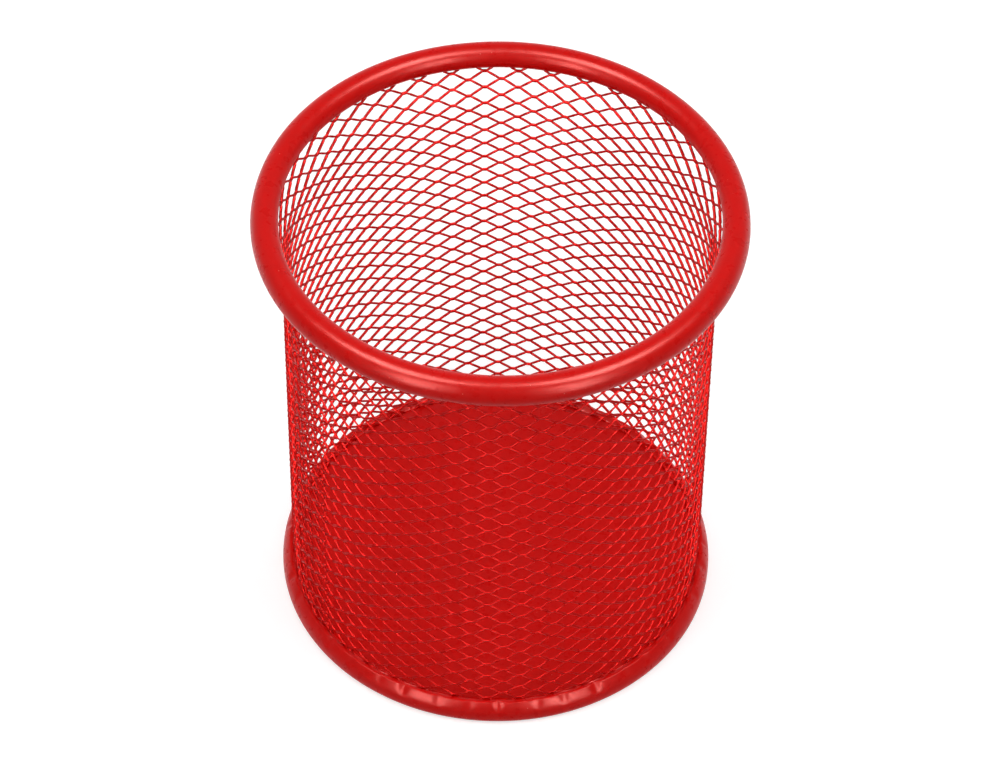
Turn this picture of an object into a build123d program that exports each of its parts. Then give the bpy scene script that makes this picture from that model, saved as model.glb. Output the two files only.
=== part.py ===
from math import atan2, cos, degrees, hypot, pi, radians, sin
import os

from build123d import *

# Mesh pencil cup: a rolled sheet of expanded steel, a rolled bead round its mouth and a pressed pan below.
# Millimetres. The origin is the middle of the foot, +Z is up and the photographed front faces -Y.

# Overall size
cup_height = 98.0
rim_diameter = 90.0

# Wall: a sheet of mesh rolled once round, with its outer end lapped over its inner end
wall_setback = 5.55
wall_sheet = 0.4
lap_width = 9.0
lap_clearance = 0.05
seam_angle = 201.45
tuck_depth = 0.8
tuck_length = 9.4
flare_length = 8.6

# Mesh of the wall: diamonds that lie on their sides
diamond_width = 6.0
diamond_height = 3.6
strand_width = 0.5

# Rim: a strip rolled to a round bead, with a slit that grips the flared top edge of the wall
bead_diameter = 4.9
rim_strip = 0.5
slit_clearance = 0.15
grip_angle = 45.0

# Base: a pan with a raised floor, a foot ring and a band that is curled up round the wall
pan_sheet = 0.5
floor_height = 4.2
band_overhang = 2.5
band_height = 4.7
band_bulge_height = 1.6
pan_inside_bend = 0.3
seat_clearance = 0.02
lip_clearance = 0.3

# Rolled wall: the outer end of the sheet stands one step further out than the inner end
quarter_turn = 90.0
half_turn = 2 * quarter_turn
wall_radius = rim_diameter / 2 - wall_setback
lap_step = wall_sheet + lap_clearance
stack_width = lap_step + wall_sheet
stack_middle = wall_radius + stack_width / 2

# Bead: the wall's top edge ends in its hollow, on the lower inner side
bead_radius = bead_diameter / 2
bead_circle = rim_diameter / 2 - bead_radius
bead_height = cup_height - bead_radius
grip_reach = bead_radius - rim_strip - slit_clearance - stack_width / 2
grip_circle = bead_circle - grip_reach * cos(radians(grip_angle))
wall_top = bead_height - grip_reach * sin(radians(grip_angle))
flare_depth = grip_circle - stack_middle
flare_height = wall_top - flare_length
flare_angle = degrees(atan2(flare_depth, flare_length))
slit_width = stack_width * cos(radians(flare_angle)) + 2 * slit_clearance

# Seat: the wall's bottom edge clears the bend between the pan's step and its foot
seat_gap = pan_inside_bend * (1 - cos(radians(quarter_turn / 2))) + seat_clearance
wall_bottom = pan_sheet + seat_gap
tuck_height = wall_bottom + tuck_length

# Mesh: the wall is made of flat upright columns, each half a diamond wide.
# The second half turn has one column more, so that the lap's diamonds fall between those under it.
strand_rows = 2 * round((wall_top - wall_bottom) / diamond_height)
strand_rise = (wall_top - wall_bottom) / strand_rows
first_columns = round(pi * wall_radius / (diamond_width / 2))
second_columns = first_columns + 1
lap_columns = round(lap_width / (diamond_width / 2))
first_turn = half_turn / first_columns
second_turn = half_turn / second_columns

# Pan: its step fits inside the wall, its foot carries the wall and its band closes on the lap
step_middle = (wall_radius - tuck_depth) * cos(radians(first_turn / 2)) - seat_gap - pan_sheet / 2
foot_middle = pan_sheet / 2
lip_tuck = tuck_depth * (tuck_height - band_height) / tuck_length
lip_middle = wall_radius + stack_width - lip_tuck + lip_clearance + pan_sheet / 2
bulge_middle = wall_radius + band_overhang - pan_sheet / 2
foot_outer = bulge_middle - (band_bulge_height - foot_middle)


def upright_plane(centre, angle):
    """Plane through an upright line at centre: its x points away at the angle and its y points up."""
    outward = Vector(cos(radians(angle)), sin(radians(angle)), 0)
    return Plane(origin=centre, x_dir=outward, z_dir=outward.cross(Vector(0, 0, 1)))


def mesh_column(centre, radius, start, turn, first_row):
    """One column of the wall, from the angle start, with half diamonds cut from both of its edges."""
    width = radius * radians(turn)
    strand_share = strand_width / 2 * hypot(width, strand_rise)
    half_high = strand_rise - strand_share / width
    half_wide = width - strand_share / strand_rise
    flat = cos(radians(turn / 2))
    profile = [
        (radius - tuck_depth, wall_bottom),
        (radius, tuck_height),
        (radius, flare_height),
        (radius + flare_depth, wall_top),
    ]
    inner_face = [(reach * flat, height) for reach, height in profile]
    outer_face = [((reach + wall_sheet) * flat, height) for reach, height in profile]
    with BuildPart() as column:
        with BuildSketch(upright_plane(centre, start + turn / 2)):
            Polygon(*inner_face, *outer_face[::-1], align=None)
        extrude(amount=width, both=True)
        for edge_angle, row in ((start, first_row), (start + turn, 1 - first_row)):
            edge = upright_plane(centre, edge_angle)
            with BuildSketch(Plane(centre, x_dir=-edge.z_dir, z_dir=edge.x_dir)):
                rows = range(row, strand_rows + 1, 2)
                with Locations(*[(0, wall_bottom + strand_rise * index) for index in rows]):
                    Polygon((half_wide, 0), (0, half_high), (-half_wide, 0), (0, -half_high), align=None)
            extrude(amount=2 * radius, mode=Mode.SUBTRACT)
        split(bisect_by=upright_plane(centre, start), keep=Keep.BOTTOM)
        split(bisect_by=upright_plane(centre, start + turn), keep=Keep.TOP)
    return column.part.solid()


# Mesh wall: two half turns about centres half a lap step apart, then the lap
seam_direction = Vector(cos(radians(seam_angle)), sin(radians(seam_angle)), 0)
cup_centre = Vector(0, 0, 0)
lap_centre = seam_direction * (lap_step / 2)
wall_arcs = [
    (cup_centre, wall_radius, seam_angle, first_turn, first_columns),
    (lap_centre, wall_radius + lap_step / 2, seam_angle + half_turn, second_turn, second_columns),
    (cup_centre, wall_radius + lap_step, seam_angle, first_turn, lap_columns),
]
columns = []
for centre, radius, start, turn, count in wall_arcs:
    first_row = len(columns) % 2
    pair = [mesh_column(centre, radius, start, turn, row) for row in (first_row, 1 - first_row)]
    for index in range(count):
        columns.append(pair[index % 2].rotate(Axis(centre, (0, 0, 1)), index * turn))

with BuildPart() as mesh_wall:
    add(columns[0].fuse(*columns[1:], glue=True), clean=False)

# Top rim: a hollow bead, open along the slit
with BuildPart() as top_rim:
    with BuildSketch(Plane.XZ):
        with Locations((bead_circle, bead_height)):
            Circle(bead_radius)
            Circle(bead_radius - rim_strip, mode=Mode.SUBTRACT)
        with Locations(Location((grip_circle, wall_top), -quarter_turn - flare_angle)):
            Rectangle(bead_diameter, slit_width, align=(Align.MIN, Align.CENTER), mode=Mode.SUBTRACT)
    revolve(axis=Axis.Z)

# Base pan: raised floor, step, foot ring and curled band in one pressing
with BuildPart() as base_pan:
    with BuildSketch(Plane.XZ):
        with BuildLine():
            FilletPolyline(
                (0, floor_height - pan_sheet / 2),
                (step_middle, floor_height - pan_sheet / 2),
                (step_middle, foot_middle),
                (foot_outer, foot_middle),
                radius=pan_inside_bend + pan_sheet / 2,
            )
            TangentArc((foot_outer, foot_middle), (bulge_middle, band_bulge_height), tangent=(1, 0))
            TangentArc((bulge_middle, band_bulge_height), (lip_middle, band_height), tangent=(0, 1))
        trace(line_width=pan_sheet)
    revolve(axis=Axis.Z)

mesh_wall.part.label = "mesh_wall"
top_rim.part.label = "top_rim"
base_pan.part.label = "base_pan"

os.makedirs("parts", exist_ok=True)
export_step(mesh_wall.part, "parts/mesh_wall.step", write_pcurves=False)
export_step(top_rim.part, "parts/top_rim.step")
export_step(base_pan.part, "parts/base_pan.step")
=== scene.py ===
"""Mesh pencil cup: the red coated mesh wall, its rolled rim and its pressed base, on a plain white stage.

Every length is in metres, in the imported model's own frame: +Z is up and the photographed front faces -Y.
"""
from math import atan2, cos, degrees, exp, pi, radians, sin

import bmesh
import bpy
from bpy.props import FloatProperty, FloatVectorProperty, IntProperty, PointerProperty
from mathutils import Matrix, Vector


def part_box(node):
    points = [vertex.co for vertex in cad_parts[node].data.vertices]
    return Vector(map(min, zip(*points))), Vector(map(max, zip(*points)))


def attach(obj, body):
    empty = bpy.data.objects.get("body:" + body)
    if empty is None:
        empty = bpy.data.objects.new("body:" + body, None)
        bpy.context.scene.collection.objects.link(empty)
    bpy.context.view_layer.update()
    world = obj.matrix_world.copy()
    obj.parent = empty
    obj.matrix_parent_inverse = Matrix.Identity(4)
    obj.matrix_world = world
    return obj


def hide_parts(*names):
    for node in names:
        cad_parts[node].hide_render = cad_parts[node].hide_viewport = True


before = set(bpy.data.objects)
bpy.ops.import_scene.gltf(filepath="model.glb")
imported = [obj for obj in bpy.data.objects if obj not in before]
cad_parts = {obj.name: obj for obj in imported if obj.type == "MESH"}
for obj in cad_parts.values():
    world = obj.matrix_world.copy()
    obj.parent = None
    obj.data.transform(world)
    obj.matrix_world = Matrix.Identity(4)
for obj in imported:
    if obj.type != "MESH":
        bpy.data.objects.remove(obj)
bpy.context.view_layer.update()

bl_info = {
    "name": "Mesh Pencil Cup",
    "version": (1, 0, 0),
    "blender": (4, 5, 0),
    "location": "View3D > Sidebar > Mesh Cup",
    "description": "Builds a round desk cup of coated expanded steel mesh",
    "category": "Add Mesh",
}

MM = 0.001
FULL_TURN = 2 * pi
WHITE = (1, 1, 1, 1)
wall_low, wall_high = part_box("mesh_wall")
rim_low, rim_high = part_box("top_rim")
base_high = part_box("base_pan")[1]

# Points nearer than this are one point: within a piece, and where the cells of the mesh wall meet
JOIN_DISTANCE = 0.001 * MM
CELL_JOIN_DISTANCE = 0.01 * MM

# Coat: patterns per metre, the useful range of a noise, and how far the roughness strays
SHADE_SCALE, SPECK_SCALE = 1500.0, 330.0
NOISE_LOW, NOISE_HIGH = 0.3, 0.7
GRAIN_SHARE = 0.25
ROUGHNESS_STRAY = 0.05
RIM_SPECKS, BASE_SPECKS = 0.035, 0.03

# Mesh: how far a strand is on its way out of the bond where its bend ends, next to a straight strand
BEND_SHARE = 0.8

# Rim and base: waves round the cup, each with its share, its count in a turn and its start
RIM_WAVES = ((0.5, 2, 0.6), (0.3, 5, 2.1), (0.2, 11, 4.0))
RIM_LIFTS = ((0.6, 3, 1.2), (0.4, 7, 0.0))
BAND_WAVES = ((0.5, 3, 0.4), (0.3, 8, 1.9), (0.2, 17, 0.7))

# Rim: how sharply the section's oval side stands out, and the middle of that side, below the horizontal
OVAL_POWER = 4
OVAL_SIDE = pi / 4

# Base: the rolled edge of the band, and rings of faces across the floor
HEM_ROUND, HEM_RISE, HEM_FALL, CRIMP_LEAN = 0.06 * MM, 0.03 * MM, 0.05 * MM, 0.1 * MM
FLOOR_RINGS = 3

# Dents of the band: sideways stray in half widths, depth and its stray, and how each changes along the row
DENT_STRAY, DENT_STRAY_STEP = 0.8, 2.4
DENT_MEAN, DENT_CHANGE, DENT_CHANGE_STEP = 0.6, 0.4, 4.1
# Share of the band's rise where the dents start, and their width low down as a share of that at the edge
DENT_START, DENT_FOOT = 0.5, 0.3

# Soft boxes: azimuth and elevation in degrees. The first three stand on both sides.
LIGHT_BOX, STRIP_BOX, HIGH_BOX, FRONT_BOX = (55, 58), (32, 18), (68, 66), (0, 52)

# Camera: sensor width in millimetres, and the nearest and farthest points seen
SENSOR_WIDTH = 36.0
CLIP_NEAR, CLIP_FAR = 0.05, 20.0


def length(label, note, default):
    """A length in metres that a user may change."""
    return FloatProperty(
        name=label, description=note, default=default, min=0, precision=5,
        unit="LENGTH", subtype="DISTANCE",
    )


def offset(label, note, default):
    """A length in metres, to either side, that a user may change."""
    return FloatProperty(
        name=label, description=note, default=default, precision=5,
        unit="LENGTH", subtype="DISTANCE",
    )


def angle(label, note, default):
    """An angle, given in degrees, that a user may change."""
    return FloatProperty(
        name=label, description=note, default=radians(default), unit="ROTATION", subtype="ANGLE"
    )


def share(label, note, default):
    """A share between nothing and all of something."""
    return FloatProperty(
        name=label, description=note, default=default, min=0, max=1, subtype="FACTOR"
    )


def strength(label, note, default):
    """A plain number that is not below nothing."""
    return FloatProperty(name=label, description=note, default=default, min=0)


def count(label, note, default):
    """A whole number of like things."""
    return IntProperty(name=label, description=note, default=default, min=1)


def colour(label, note, default):
    """A colour in linear light."""
    return FloatVectorProperty(
        name=label, description=note, default=(*default, 1.0), size=4, min=0, max=1,
        subtype="COLOR",
    )


class MeshWallSettings(bpy.types.PropertyGroup):
    """Sizes of the rolled mesh sheet"""

    radius: length("Radius", "Middle of the sheet, apart from its lapped end", 39.6 * MM)
    lap_step: length("Lap Step", "How far the outer end stands over the inner end", 0.45 * MM)
    lap_columns: count("Lap Columns", "Columns of half diamonds in the lap", 3)
    step_columns: count("Step Columns", "Columns in which the sheet climbs on to its inner end", 3)
    turn_columns: count("Turn Columns", "Columns of half diamonds in one turn", 81)
    seam: angle("Seam", "Direction of the sheet's inner end, where the lap starts", 201.36)
    bottom: length("Bottom", "Height of the sheet's bottom edge", wall_low.z)
    top: length("Top", "Height of the sheet's top edge", wall_high.z)
    tuck: length("Tuck", "How far the bottom edge is drawn in", 0.55 * MM)
    tuck_height: length(
        "Tuck Height", "Height where the wall starts to draw in", wall_low.z + 9.4 * MM
    )
    flare: length("Flare", "How far the top edge is spread", 1.7 * MM)
    flare_height: length(
        "Flare Height", "Height where the wall starts to spread", wall_high.z - 8.6 * MM
    )
    first_row: length("First Row", "Height of the row below the lowest bonds", 1.47 * MM)
    row_rise: length("Row Rise", "From one row of bonds to the next", 1.7583 * MM)
    bonds: count("Bonds", "Bonds in each column", 26)
    strand_width: length("Strand Width", "Broad side of a strand", 0.48 * MM)
    strand_thickness: length("Strand Thickness", "Narrow side of a strand", 0.28 * MM)
    strand_lean: angle("Strand Lean", "How far the broad sides lean down outside", 24.0)
    bond: length("Bond", "Length along which two strands stay joined", 0.8 * MM)
    bond_width: length("Bond Width", "Broad side of each strand along the bond", 0.26 * MM)
    bend: length("Bend", "Length over which a strand leaves its bond", 0.3 * MM)
    knuckle: length("Knuckle", "Narrow side of a strand where it leaves its bond", 0.48 * MM)


class RimSettings(bpy.types.PropertyGroup):
    """Sizes of the rolled bead"""

    outer_radius: length("Outer Radius", "Outermost radius of the bead", rim_high.x)
    top: length("Top", "Highest point of the bead", rim_high.z)
    bead_radius: length(
        "Bead Radius", "Mean radius of the bead's section", (rim_high.z - rim_low.z) / 2
    )
    oval: length("Oval", "How far the section is drawn out on its lower outer side", 0.5 * MM)
    strip: length("Strip", "Thickness of the rolled strip", 0.5 * MM)
    slit: length("Slit", "Width of the slit that grips the mesh", 1.2 * MM)
    slit_direction: angle("Slit Direction", "Direction of the slit from the bead's middle", 233.0)
    waviness: length("Waviness", "How far the bead strays from a true ring", 0.04 * MM)
    segments: count("Segments", "Segments round the cup", 360)


class BaseSettings(bpy.types.PropertyGroup):
    """Sizes of the pressed base"""

    band_radius: length("Band Radius", "Widest radius of the band", base_high.x)
    band_top: length("Band Top", "Height of the middle of the band's edge", 4.7 * MM)
    bulge_height: length("Bulge Height", "Height at which the band is widest", 1.6 * MM)
    lip_radius: length("Lip Radius", "Radius of the middle of the band's edge", 40.4 * MM)
    sheet: length("Sheet", "Thickness of the pressed sheet", 0.5 * MM)
    hem_radius: length("Hem Radius", "Inner radius of the band's edge, at the mesh", 39.75 * MM)
    step_radius: length("Step Radius", "Outer radius of the step below the floor", 38.85 * MM)
    floor: length("Floor", "Height of the floor's upper side", 4.2 * MM)
    bend: length("Bend", "Outer radius of the bend at the foot", 0.8 * MM)
    floor_bend: length("Floor Bend", "Radius of the bend round the floor", 0.2 * MM)
    crimp_depth: length(
        "Crimp Depth", "From the floor down to the crimp that holds the mesh", 0.3 * MM
    )
    dents: count("Dents", "Dents round the band's edge, one for each diamond", 41)
    dent_depth: length("Dent Depth", "How far the edge is pressed in at a dent", 0.45 * MM)
    dent_width: length("Dent Width", "Half the width of a dent", 0.85 * MM)
    waviness: length("Waviness", "How far the band's edge strays from a true ring", 0.12 * MM)
    segments: count("Segments", "Segments round the cup", 840)


class CoatSettings(bpy.types.PropertyGroup):
    """Look of the powder coat"""

    red: colour("Red", "Main colour of the coat", (0.66, 0.0015, 0.0008))
    # Painted shade: the mesh has the same coat as Red, and this darker copy of it makes the wall's strands
    # look shaded
    mesh_red: colour("Mesh Red", "Colour of the thin coat on the mesh", (0.56, 0.0012, 0.0008))
    dust: colour("Dust", "Colour of the pale specks", (0.75, 0.12, 0.10))
    shine: colour("Shine", "Colour of the coat's gloss", (1.0, 0.36, 0.32))
    roughness: share("Roughness", "Blur of the coat's gloss", 0.3)
    gloss: share("Gloss", "Strength of the coat's gloss", 0.17)
    mesh_gloss: share("Mesh Gloss", "Strength of the gloss of the mesh", 0.12)
    mesh_metal: share(
        "Mesh Metal", "How far the mesh shines in its own colour, as a metal does", 0.14
    )
    mottle: share("Mottle", "How much darker the coat is where it is thicker", 0.08)
    peel: length("Peel", "Height of the coat's fine ripple", 0.012 * MM)
    peel_size: length("Peel Size", "Width of the coat's fine ripple", 0.45 * MM)


class StageSettings(bpy.types.PropertyGroup):
    """Camera, lights and floor"""

    camera_elevation: angle("Camera Elevation", "Height of the camera above the horizon", 47.5215)
    camera_roll: angle("Camera Roll", "Turn of the camera about its own axis", 0.82)
    camera_distance: length(
        "Camera Distance", "From the camera to the aim point's plane", 795.8 * MM
    )
    aim_height: length("Aim Height", "Height of the aim point on the cup's axis", 22.5 * MM)
    aim_right: offset("Aim Right", "Aim point right of the frame's middle", -0.616 * MM)
    aim_up: offset("Aim Up", "Aim point above the frame's middle", -19.436 * MM)
    lens: strength("Lens", "Focal length in millimetres on a sensor 36 mm wide", 147.94)
    floor_size: length("Floor Size", "Side of the square floor", 6.0)
    floor_grey: share("Floor Grey", "How much light the floor's paint throws back", 0.6)
    floor_glow: share("Floor Glow", "Brightness that whitens the floor where it is seen", 0.6)
    sky_front: strength("Front Sky", "Strength of the even light on the camera's side", 0.08)
    sky_back: strength("Back Sky", "Strength of the even light behind the cup", 0.85)
    box_distance: length("Box Distance", "From the cup to each soft box", 0.9)
    box_size: length("Box Size", "Side of each square soft box", 0.4)
    strip_width: length("Strip Width", "Width of the upright strip lights in front", 0.2)
    strip_height: length("Strip Height", "Height of the upright strip lights in front", 0.7)
    light_power: strength("Light Power", "Watts of each soft box", 2.5)
    shine_power: strength("Shine Power", "Watts of each high box that only shows in the gloss", 30.0)
    strip_power: strength("Strip Power", "Watts of each strip that only shows in the gloss", 20.0)
    front_power: strength("Front Power", "Watts of the front box that only shows in the gloss", 0.6)


SETTINGS = {
    "cup_wall": MeshWallSettings,
    "cup_rim": RimSettings,
    "cup_base": BaseSettings,
    "cup_coat": CoatSettings,
    "cup_stage": StageSettings,
}


# Node trees

def feed(tree, socket, value):
    """Links an input to a socket, or sets it to a plain value."""
    if isinstance(value, bpy.types.NodeSocket):
        tree.links.new(value, socket)
    else:
        socket.default_value = value


def add_node(tree, kind, inputs=None, **settings):
    """Adds a node, sets its options and feeds the inputs that are named or numbered."""
    node = tree.nodes.new(kind)
    for name, value in settings.items():
        setattr(node, name, value)
    for key, value in (inputs or {}).items():
        feed(tree, node.inputs[key], value)
    return node


def maths(tree, operation, *values):
    """Adds one maths node on numbers or sockets and returns its output."""
    node = add_node(tree, "ShaderNodeMath", dict(enumerate(values)), operation=operation)
    return node.outputs[0]


def mix_colours(tree, factor, first, second):
    """Adds a colour mix of two colours or sockets and returns its output."""
    node = add_node(tree, "ShaderNodeMix", data_type="RGBA")
    sockets = {socket.identifier: socket for socket in node.inputs}
    for key, value in (("Factor_Float", factor), ("A_Color", first), ("B_Color", second)):
        feed(tree, sockets[key], value)
    return next(socket for socket in node.outputs if socket.identifier == "Result_Color")


def bare_tree(owner):
    """Turns on the nodes of a material or a world and returns its tree, emptied."""
    owner.use_nodes = True
    owner.node_tree.nodes.clear()
    return owner.node_tree


def red_coat(name, red, gloss, metal=0.0, speck_share=0.0):
    """Powder coat: a deep red with a fine ripple, a slow change of shade and a few pale specks."""
    coat = bpy.context.scene.cup_coat
    material = bpy.data.materials.new(name)
    tree = bare_tree(material)
    place = add_node(tree, "ShaderNodeTexCoord").outputs["Object"]

    def noise(scale, detail):
        pattern = {"Vector": place, "Scale": scale, "Detail": detail}
        return add_node(tree, "ShaderNodeTexNoise", pattern).outputs["Fac"]

    shade = noise(SHADE_SCALE, 3.0)
    deep_red = (*[(1 - coat.mottle) * part for part in red[:3]], 1.0)
    reds = mix_colours(tree, shade, deep_red, red)
    specks = add_node(tree, "ShaderNodeTexVoronoi", {"Vector": place, "Scale": SPECK_SCALE})
    speck = maths(tree, "LESS_THAN", specks.outputs["Distance"], speck_share)
    dusted = mix_colours(tree, speck, reds, coat.dust)

    grain = noise(GRAIN_SHARE / coat.peel_size, 2.0)
    rough = add_node(tree, "ShaderNodeMapRange", {
        "Value": grain, "From Min": NOISE_LOW, "From Max": NOISE_HIGH,
        "To Min": coat.roughness - ROUGHNESS_STRAY, "To Max": coat.roughness + ROUGHNESS_STRAY,
    })
    peel = noise(1 / coat.peel_size, 1.0)
    bump = add_node(tree, "ShaderNodeBump", {
        "Height": peel, "Distance": coat.peel, "Strength": 1.0,
    })
    shader = add_node(tree, "ShaderNodeBsdfPrincipled", {
        "Base Color": dusted, "Roughness": rough.outputs[0], "Normal": bump.outputs[0],
        "Specular IOR Level": gloss, "Specular Tint": coat.shine, "Metallic": metal,
    })
    add_node(tree, "ShaderNodeOutputMaterial", {"Surface": shader.outputs[0]})
    return material


# Mesh pieces

def new_piece(name, mesh, material):
    """Links a finished mesh into the scene as a piece with one material."""
    piece = bpy.data.objects.new(name, mesh)
    bpy.context.scene.collection.objects.link(piece)
    mesh.materials.clear()
    mesh.materials.append(material)
    return piece


def stand_for(piece, node):
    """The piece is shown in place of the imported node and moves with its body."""
    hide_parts(node)
    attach(piece, "root")


def lathe(name, profile, segments, stray, closed):
    """Turns a profile of (radius, height) points round the cup's axis.

    stray(turn, radius, height) gives the radius and height of a profile point in the direction turn.
    A profile that is not closed starts and ends on the axis.
    """
    shape = bmesh.new()
    columns = []
    for index in range(segments):
        turn = FULL_TURN * index / segments
        column = []
        for radius, height in profile:
            out, up = stray(turn, radius, height)
            column.append(shape.verts.new((out * cos(turn), out * sin(turn), up)))
        columns.append(column)
    points = len(profile)
    for index, column in enumerate(columns):
        beside = columns[(index + 1) % segments]
        for point in range(points if closed else points - 1):
            after = (point + 1) % points
            shape.faces.new((column[point], beside[point], beside[after], column[after]))
    if not closed:
        bmesh.ops.remove_doubles(shape, verts=shape.verts, dist=JOIN_DISTANCE)
    bmesh.ops.recalc_face_normals(shape, faces=shape.faces)
    for face in shape.faces:
        face.smooth = True
    mesh = bpy.data.meshes.new(name)
    shape.to_mesh(mesh)
    shape.free()
    return mesh


def arc(centre, radius, start, end, steps):
    """Points of an arc from one direction to another, in degrees."""
    points = []
    for step in range(steps + 1):
        turn = radians(start + (end - start) * step / steps)
        points.append((centre[0] + radius * cos(turn), centre[1] + radius * sin(turn)))
    return points


def waves_at(turn, waves):
    """Sum of the waves round the cup in the direction turn."""
    return sum(part * sin(times * turn + start) for part, times, start in waves)


def strand_cell(wall, column_width):
    """Mesh of one bond with its four half strands, laid flat: x along the sheet, y out of it and z up.

    The upper pair of half strands is one ribbon and the lower pair is the same ribbon turned over.
    The two ribbons share one side along the bond. The ends stay open, to join the next cells.
    """
    across = (-sin(wall.strand_lean), -cos(wall.strand_lean))
    through = (cos(wall.strand_lean), -sin(wall.strand_lean))
    thick_half, knuckle_half = wall.strand_thickness / 2, wall.knuckle / 2
    strand_half, bond_half = wall.strand_width / 2, wall.bond_width / 2
    bond_end = wall.bond / 2
    bend_end = bond_end + wall.bend
    middle = column_width / 2
    bond_centre = (-across[0] * bond_half, -across[1] * bond_half)
    strand_middle = (0.0, wall.row_rise / 2)
    bend_share = BEND_SHARE * wall.bend / (middle - bond_end)
    bend_centre = tuple(a + (b - a) * bend_share for a, b in zip(bond_centre, strand_middle))
    bend_half = (strand_half + bond_half) / 2
    right_side = [
        (bond_end, bond_centre, bond_half, thick_half),
        (bend_end, bend_centre, bend_half, knuckle_half),
        (middle, strand_middle, strand_half, thick_half),
    ]
    stations = [(-along, *section) for along, *section in reversed(right_side)] + right_side
    corners = ((-1, -1), (1, -1), (1, 1), (-1, 1))
    bond_stretch, shared_side = 2, 1
    shape = bmesh.new()
    for side in (1, -1):
        rings = []
        for along, (out, up), half_width, half_thick in stations:
            ring = []
            for a, t in corners:
                y = out + a * across[0] * half_width + t * through[0] * half_thick
                z = up + a * across[1] * half_width + t * through[1] * half_thick
                ring.append(shape.verts.new((along, side * y, side * z)))
            rings.append(ring)
        for stretch, (ring, beside) in enumerate(zip(rings, rings[1:])):
            for corner in range(len(corners)):
                if stretch == bond_stretch and corner == shared_side:
                    continue
                after = (corner + 1) % len(corners)
                shape.faces.new((ring[corner], beside[corner], beside[after], ring[after]))
    bmesh.ops.remove_doubles(shape, verts=shape.verts, dist=JOIN_DISTANCE)
    mesh = bpy.data.meshes.new("strand_cell")
    shape.to_mesh(mesh)
    shape.free()
    return mesh


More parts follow.
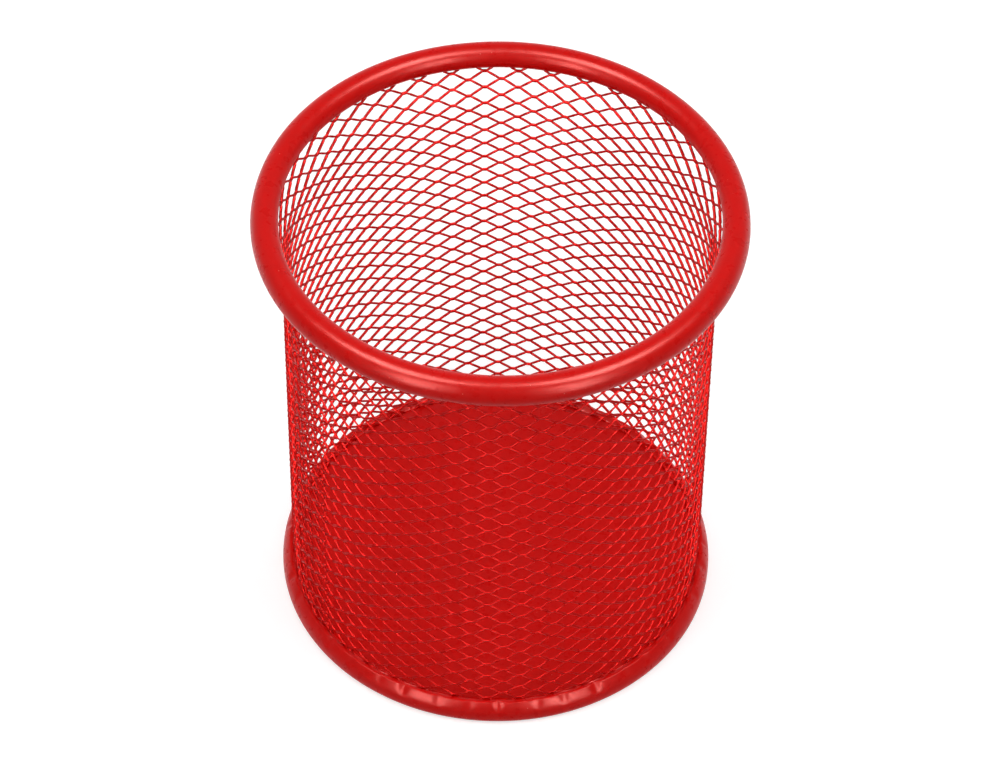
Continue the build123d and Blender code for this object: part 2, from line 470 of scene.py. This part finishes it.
def mesh_wall_tree():
    """Geometry node tree that sets out the strand cells in staggered rows and rolls the sheet up."""
    tree = bpy.data.node_groups.new("Rolled Mesh", "GeometryNodeTree")
    floats = (
        "Column Width", "First Row", "Row Rise", "Radius", "Lap Step", "Seam", "Bottom", "Top",
        "Tuck", "Tuck Height", "Flare", "Flare Height",
    )
    whole = ("Turn Columns", "Lap Columns", "Step Columns", "Bonds")
    kinds = [(name, "NodeSocketFloat") for name in floats]
    kinds += [(name, "NodeSocketInt") for name in whole]
    kinds += [("Cell", "NodeSocketObject"), ("Coat", "NodeSocketMaterial")]
    for name, kind in kinds:
        tree.interface.new_socket(name, in_out="INPUT", socket_type=kind)
    tree.interface.new_socket("Wall", in_out="OUTPUT", socket_type="NodeSocketGeometry")
    size = add_node(tree, "NodeGroupInput").outputs

    # Staggered rows of bonds on the flat sheet: odd columns stand one row higher
    columns = maths(tree, "ADD", maths(tree, "ADD", size["Turn Columns"], size["Lap Columns"]), 1)
    index = add_node(tree, "GeometryNodeInputIndex").outputs[0]
    column = maths(
        tree, "FLOOR", maths(tree, "DIVIDE", maths(tree, "ADD", index, 0.5), size["Bonds"])
    )
    bond = maths(tree, "SUBTRACT", index, maths(tree, "MULTIPLY", column, size["Bonds"]))
    row = maths(
        tree, "ADD", maths(tree, "MULTIPLY_ADD", bond, 2, 1),
        maths(tree, "FLOORED_MODULO", column, 2),
    )
    spot = add_node(tree, "ShaderNodeCombineXYZ", {
        "X": maths(tree, "MULTIPLY", column, size["Column Width"]),
        "Z": maths(tree, "MULTIPLY_ADD", row, size["Row Rise"], size["First Row"]),
    })
    points = add_node(tree, "GeometryNodePoints", {
        "Count": maths(tree, "MULTIPLY", columns, size["Bonds"]), "Position": spot.outputs[0],
    })
    cell = add_node(tree, "GeometryNodeObjectInfo", {"Object": size["Cell"]})
    cells = add_node(tree, "GeometryNodeInstanceOnPoints", {
        "Points": points.outputs[0], "Instance": cell.outputs["Geometry"],
    })
    sheet = add_node(tree, "GeometryNodeRealizeInstances", {"Geometry": cells.outputs[0]})
    joined = add_node(tree, "GeometryNodeMergeByDistance", {
        "Geometry": sheet.outputs[0], "Distance": CELL_JOIN_DISTANCE,
    })

    # Direction and radius of each point of the rolled sheet, which climbs on to its own inner end
    position = add_node(tree, "GeometryNodeInputPosition").outputs[0]
    place = add_node(tree, "ShaderNodeSeparateXYZ", {0: position}).outputs
    along = maths(tree, "DIVIDE", place["X"], size["Column Width"])
    turns = maths(tree, "DIVIDE", along, size["Turn Columns"])
    turn = maths(tree, "MULTIPLY_ADD", turns, FULL_TURN, size["Seam"])
    climb = add_node(tree, "ShaderNodeMapRange", {
        "Value": along,
        "From Min": maths(tree, "SUBTRACT", size["Turn Columns"], size["Step Columns"]),
        "From Max": size["Turn Columns"], "To Min": 0.0, "To Max": size["Lap Step"],
    }, interpolation_type="SMOOTHSTEP")
    height = place["Z"]
    tucked = add_node(tree, "ShaderNodeMapRange", {
        "Value": height, "From Min": size["Bottom"], "From Max": size["Tuck Height"],
        "To Min": size["Tuck"], "To Max": 0.0,
    })
    flared = add_node(tree, "ShaderNodeMapRange", {
        "Value": height, "From Min": size["Flare Height"], "From Max": size["Top"],
        "To Min": 0.0, "To Max": size["Flare"],
    })
    sheet_radius = maths(
        tree, "ADD", maths(tree, "ADD", size["Radius"], climb.outputs[0]), place["Y"]
    )
    spread = maths(tree, "SUBTRACT", flared.outputs[0], tucked.outputs[0])
    reach = maths(tree, "ADD", sheet_radius, spread)
    rolled = add_node(tree, "ShaderNodeCombineXYZ", {
        "X": maths(tree, "MULTIPLY", reach, maths(tree, "COSINE", turn)),
        "Y": maths(tree, "MULTIPLY", reach, maths(tree, "SINE", turn)),
        "Z": height,
    })
    wall = add_node(tree, "GeometryNodeSetPosition", {
        "Geometry": joined.outputs[0], "Position": rolled.outputs[0],
    })
    rounded = add_node(tree, "GeometryNodeSetShadeSmooth", {
        "Geometry": wall.outputs[0], "Shade Smooth": True,
    })
    coated = add_node(tree, "GeometryNodeSetMaterial", {
        "Geometry": rounded.outputs[0], "Material": size["Coat"],
    })
    add_node(tree, "NodeGroupOutput", {"Wall": coated.outputs[0]})
    return tree


def close_strands(mesh):
    """Closes the cut ends of the strands, which have four sides."""
    shape = bmesh.new()
    shape.from_mesh(mesh)
    cut_edges = [edge for edge in shape.edges if edge.is_boundary]
    bmesh.ops.holes_fill(shape, edges=cut_edges, sides=4)
    shape.to_mesh(mesh)
    shape.free()


class MESHCUP_OT_wall(bpy.types.Operator):
    """Make the wall of rolled expanded mesh"""

    bl_idname = "mesh_cup.make_wall"
    bl_label = "Mesh Wall"

    def execute(self, context):
        wall, finish = context.scene.cup_wall, context.scene.cup_coat
        column_width = FULL_TURN * wall.radius / wall.turn_columns
        cell = bpy.data.objects.new("strand_cell", strand_cell(wall, column_width))
        context.scene.collection.objects.link(cell)
        # The mesh's coat takes the darker red, which is painted shade on the strands
        coat = red_coat("red_coat_mesh", finish.mesh_red, finish.mesh_gloss, finish.mesh_metal)
        host = bpy.data.objects.new("mesh_host", bpy.data.meshes.new("mesh_host"))
        context.scene.collection.objects.link(host)
        modifier = host.modifiers.new("Rolled Mesh", "NODES")
        modifier.node_group = mesh_wall_tree()
        made = {"Column Width": column_width, "Cell": cell, "Coat": coat}
        for item in modifier.node_group.interface.items_tree:
            if item.in_out == "INPUT":
                setting = item.name.lower().replace(" ", "_")
                value = made[item.name] if item.name in made else getattr(wall, setting)
                modifier[item.identifier] = value
        context.view_layer.update()
        evaluated = host.evaluated_get(context.evaluated_depsgraph_get())
        mesh = bpy.data.meshes.new_from_object(evaluated)
        mesh.name = "rolled_mesh"
        host.modifiers.remove(modifier)
        bpy.data.objects.remove(host)
        bpy.data.objects.remove(cell)
        if not mesh.polygons:
            raise RuntimeError("the mesh wall came out empty")
        close_strands(mesh)
        stand_for(new_piece("rolled_mesh", mesh, coat), "mesh_wall")
        return {"FINISHED"}


class MESHCUP_OT_rim(bpy.types.Operator):
    """Make the rolled bead round the mouth"""

    bl_idname = "mesh_cup.make_rim"
    bl_label = "Top Rim"

    def execute(self, context):
        rim, finish = context.scene.cup_rim, context.scene.cup_coat
        centre = (rim.outer_radius - rim.bead_radius, rim.top - rim.bead_radius)
        half_slit = degrees(atan2(rim.slit / 2, rim.bead_radius))
        slit = degrees(rim.slit_direction)
        start, end = slit + half_slit, slit + 360 - half_slit
        outer = arc(centre, rim.bead_radius, start, end, steps=52)
        inner = arc(centre, rim.bead_radius - rim.strip, end, start, steps=24)

        def stray(turn, radius, height):
            out, up = radius - centre[0], height - centre[1]
            bulge = max(0.0, cos(atan2(up, out) + OVAL_SIDE)) ** OVAL_POWER
            stretch = 1 + rim.oval / rim.bead_radius * bulge
            aside = rim.waviness * waves_at(turn, RIM_WAVES)
            lift = rim.waviness * waves_at(turn, RIM_LIFTS)
            return centre[0] + out * stretch + aside, centre[1] + up * stretch + lift

        mesh = lathe("rolled_rim", outer + inner, rim.segments, stray, closed=True)
        coat = red_coat("red_coat_rim", finish.red, finish.gloss, speck_share=RIM_SPECKS)
        stand_for(new_piece("rolled_rim", mesh, coat), "top_rim")
        return {"FINISHED"}


class MESHCUP_OT_base(bpy.types.Operator):
    """Make the pressed base with its curled band"""

    bl_idname = "mesh_cup.make_base"
    bl_label = "Base Pan"

    def execute(self, context):
        base, finish = context.scene.cup_base, context.scene.cup_coat
        sheet, bend, floor_bend = base.sheet, base.bend, base.floor_bend
        step_in, underside = base.step_radius - sheet, base.floor - sheet
        rings = [step_in * ring / FLOOR_RINGS for ring in range(FLOOR_RINGS)]

        # Upper part of the band: an arc through the middle of the sheet, from the bulge to the edge
        bulge = (base.band_radius - base.bulge_height, base.bulge_height)
        middle = base.band_radius - sheet / 2
        lip_fall, lip_rise = middle - base.lip_radius, base.band_top - base.bulge_height
        upper = (lip_fall ** 2 + lip_rise ** 2) / (2 * lip_fall)
        upper_centre = (middle - upper, base.bulge_height)
        lip_turn = degrees(atan2(lip_rise, base.lip_radius - upper_centre[0]))

        # Below, from the axis to the band's edge: underside of the floor, step, foot and band
        outside = [(radius, underside) for radius in rings]
        outside += arc((step_in - floor_bend, underside - floor_bend), floor_bend, 90, 0, steps=3)
        outside += arc((step_in + bend, bend), bend, 180, 270, steps=6)
        outside += arc(bulge, base.bulge_height, 270, 360, steps=12)
        outside += arc(upper_centre, upper + sheet / 2, 0, lip_turn, steps=20)[1:]
        edge_radius, edge_height = outside[-1]

        # Above, from the band's edge to the axis: hem, crimp round the mesh and floor
        crimp = base.floor - base.crimp_depth
        corner = (base.step_radius - floor_bend, base.floor - floor_bend)
        inside = [
            (edge_radius - HEM_ROUND, edge_height + HEM_RISE),
            (base.hem_radius, edge_height - HEM_FALL),
            (base.hem_radius - CRIMP_LEAN, crimp),
            (base.step_radius, crimp),
        ]
        inside += arc(corner, floor_bend, 0, 90, steps=4)
        inside += [(radius, base.floor) for radius in reversed(rings)]
        pitch = FULL_TURN * base.lip_radius / base.dents

        def stray(turn, radius, height):
            if radius < base.step_radius + bend:
                return radius, height
            rise = max(0.0, (height - base.bulge_height) / lip_rise)
            row = turn * base.dents / FULL_TURN
            dent = round(row)
            wander = DENT_STRAY * sin(dent * DENT_STRAY_STEP) * base.dent_width
            aside = (row - dent) * pitch - wander
            spread = base.dent_width * (DENT_FOOT + (1 - DENT_FOOT) * min(rise, 1.0))
            deepest = base.dent_depth * (DENT_MEAN + DENT_CHANGE * sin(dent * DENT_CHANGE_STEP))
            depth = deepest * max(0.0, rise - DENT_START) / (1 - DENT_START)
            press = depth * exp(-(aside / spread) ** 2)
            press -= base.waviness * rise * waves_at(turn, BAND_WAVES)
            free = (radius - base.hem_radius) / (edge_radius - base.hem_radius)
            return radius - min(1.0, max(0.0, free)) * press, height

        mesh = lathe("pressed_base", outside + inside, base.segments, stray, closed=False)
        coat = red_coat("red_coat_base", finish.red, finish.gloss, speck_share=BASE_SPECKS)
        stand_for(new_piece("pressed_base", mesh, coat), "base_pan")
        return {"FINISHED"}


# Stage

def seen_directly(tree):
    """One for rays that show the background: straight from the camera, in a gloss or through glass."""
    path = add_node(tree, "ShaderNodeLightPath").outputs
    glossy = maths(tree, "MAXIMUM", path["Is Camera Ray"], path["Is Glossy Ray"])
    return maths(tree, "MAXIMUM", glossy, path["Is Transmission Ray"])


def white_floor(stage):
    """White ground that keeps a soft shadow."""
    bpy.ops.mesh.primitive_plane_add(size=stage.floor_size)
    floor = bpy.context.object
    floor.name = "white_floor"
    white = bpy.data.materials.new("white_floor")
    tree = bare_tree(white)
    glow = add_node(tree, "ShaderNodeEmission", {
        "Color": WHITE, "Strength": maths(tree, "MULTIPLY", seen_directly(tree), stage.floor_glow),
    })
    paint = add_node(tree, "ShaderNodeBsdfDiffuse", {"Color": (*[stage.floor_grey] * 3, 1)})
    both = add_node(tree, "ShaderNodeAddShader", {0: glow.outputs[0], 1: paint.outputs[0]})
    add_node(tree, "ShaderNodeOutputMaterial", {"Surface": both.outputs[0]})
    floor.data.materials.append(white)


def white_room(stage):
    """Soft light that grows towards the back, white where it is seen directly."""
    world = bpy.data.worlds.new("white_room")
    tree = bare_tree(world)
    direction = add_node(tree, "ShaderNodeTexCoord").outputs["Generated"]
    view = add_node(tree, "ShaderNodeSeparateXYZ", {0: direction})
    slope = add_node(tree, "ShaderNodeMapRange", {
        "Value": view.outputs["Y"], "From Min": -1.0, "From Max": 1.0,
        "To Min": stage.sky_front, "To Max": stage.sky_back,
    })
    brightness = add_node(tree, "ShaderNodeMix", {
        "Factor": seen_directly(tree), "A": slope.outputs[0], "B": 1.0,
    })
    sky = add_node(tree, "ShaderNodeBackground", {
        "Color": WHITE, "Strength": brightness.outputs[0],
    })
    add_node(tree, "ShaderNodeOutputWorld", {"Surface": sky.outputs[0]})
    return world


def towards(azimuth, elevation):
    """Unit vector in a direction in degrees. Azimuth 0 is the camera's side, -Y, and grows towards +X."""
    side, rise = radians(azimuth), radians(elevation)
    return Vector((sin(side) * cos(rise), -cos(side) * cos(rise), sin(rise)))


def add_box(name, direction, distance, sides, power, gloss_only):
    """Soft box in a direction from the cup and turned to it. It lights the coat or shows in its gloss."""
    data = bpy.data.lights.new(name, "AREA")
    data.shape, data.energy = "RECTANGLE", power
    data.size, data.size_y = sides
    box = bpy.data.objects.new(name, data)
    box.location = Vector((0, 0, rim_high.z / 2)) + direction * distance
    box.rotation_euler = direction.to_track_quat("Z", "Y").to_euler()
    box.visible_camera = False
    box.visible_diffuse, box.visible_glossy = not gloss_only, gloss_only
    bpy.context.scene.collection.objects.link(box)


def soft_boxes(stage):
    """On each side, a box for light, and a strip in front and a box high up that only show in the gloss.

    One more box in front also only shows in the gloss.
    """
    square = (stage.box_size, stage.box_size)
    strip = (stage.strip_width, stage.strip_height)
    kinds = (
        ("light", LIGHT_BOX, square, stage.light_power, False),
        ("strip_shine", STRIP_BOX, strip, stage.strip_power, True),
        ("high_shine", HIGH_BOX, square, stage.shine_power, True),
    )
    for side, turn in (("left", -1), ("right", 1)):
        for name, (azimuth, elevation), sides, power, gloss_only in kinds:
            direction = towards(turn * azimuth, elevation)
            add_box(f"{side}_{name}", direction, stage.box_distance, sides, power, gloss_only)
    front = towards(*FRONT_BOX)
    add_box("front_shine", front, stage.box_distance, square, stage.front_power, gloss_only=True)


def photo_camera(stage):
    """Camera that sees the cup as the photograph does."""
    roll, elevation = stage.camera_roll, stage.camera_elevation
    back = Vector((0, -cos(elevation), sin(elevation)))
    level = Vector((1, 0, 0))
    upright = back.cross(level)
    right = cos(roll) * level + sin(roll) * upright
    up = cos(roll) * upright - sin(roll) * level
    data = bpy.data.cameras.new("photo_camera")
    data.lens, data.sensor_width, data.sensor_fit = stage.lens, SENSOR_WIDTH, "HORIZONTAL"
    data.clip_start, data.clip_end = CLIP_NEAR, CLIP_FAR
    camera = bpy.data.objects.new("photo_camera", data)
    spot = Vector((0, 0, stage.aim_height)) + back * stage.camera_distance
    spot -= right * stage.aim_right + up * stage.aim_up
    turned = Matrix((right, up, back)).transposed().to_4x4()
    camera.matrix_world = Matrix.Translation(spot) @ turned
    bpy.context.scene.collection.objects.link(camera)
    return camera


class MESHCUP_OT_stage(bpy.types.Operator):
    """Set up the white floor, the soft lights and the camera"""

    bl_idname = "mesh_cup.set_stage"
    bl_label = "Stage"

    def execute(self, context):
        scene, stage = context.scene, context.scene.cup_stage
        scene.view_settings.view_transform = "Standard"
        white_floor(stage)
        scene.world = white_room(stage)
        soft_boxes(stage)
        scene.camera = photo_camera(stage)
        return {"FINISHED"}


class MESHCUP_PT_panel(bpy.types.Panel):
    """Sizes of the mesh cup and a button for each of its pieces"""

    bl_idname = "MESHCUP_PT_panel"
    bl_label = "Mesh Pencil Cup"
    bl_space_type = "VIEW_3D"
    bl_region_type = "UI"
    bl_category = "Mesh Cup"

    def draw(self, context):
        for operator, settings in PIECES:
            box = self.layout.box()
            group = getattr(context.scene, settings)
            for name in group.bl_rna.properties.keys():
                if name not in ("rna_type", "name"):
                    box.prop(group, name)
            if operator:
                box.operator(operator)


PIECES = (
    (None, "cup_coat"),
    (MESHCUP_OT_wall.bl_idname, "cup_wall"),
    (MESHCUP_OT_rim.bl_idname, "cup_rim"),
    (MESHCUP_OT_base.bl_idname, "cup_base"),
    (MESHCUP_OT_stage.bl_idname, "cup_stage"),
)
CLASSES = (
    *SETTINGS.values(),
    MESHCUP_OT_wall, MESHCUP_OT_rim, MESHCUP_OT_base, MESHCUP_OT_stage,
    MESHCUP_PT_panel,
)


def register():
    for cls in CLASSES:
        bpy.utils.register_class(cls)
    for name, group in SETTINGS.items():
        setattr(bpy.types.Scene, name, PointerProperty(type=group))


def unregister():
    for name in SETTINGS:
        delattr(bpy.types.Scene, name)
    for cls in reversed(CLASSES):
        bpy.utils.unregister_class(cls)


def main():
    """Builds every piece and the stage."""
    register()
    bpy.ops.mesh_cup.make_wall()
    bpy.ops.mesh_cup.make_rim()
    bpy.ops.mesh_cup.make_base()
    bpy.ops.mesh_cup.set_stage()


if __name__ == "__main__":
    main()
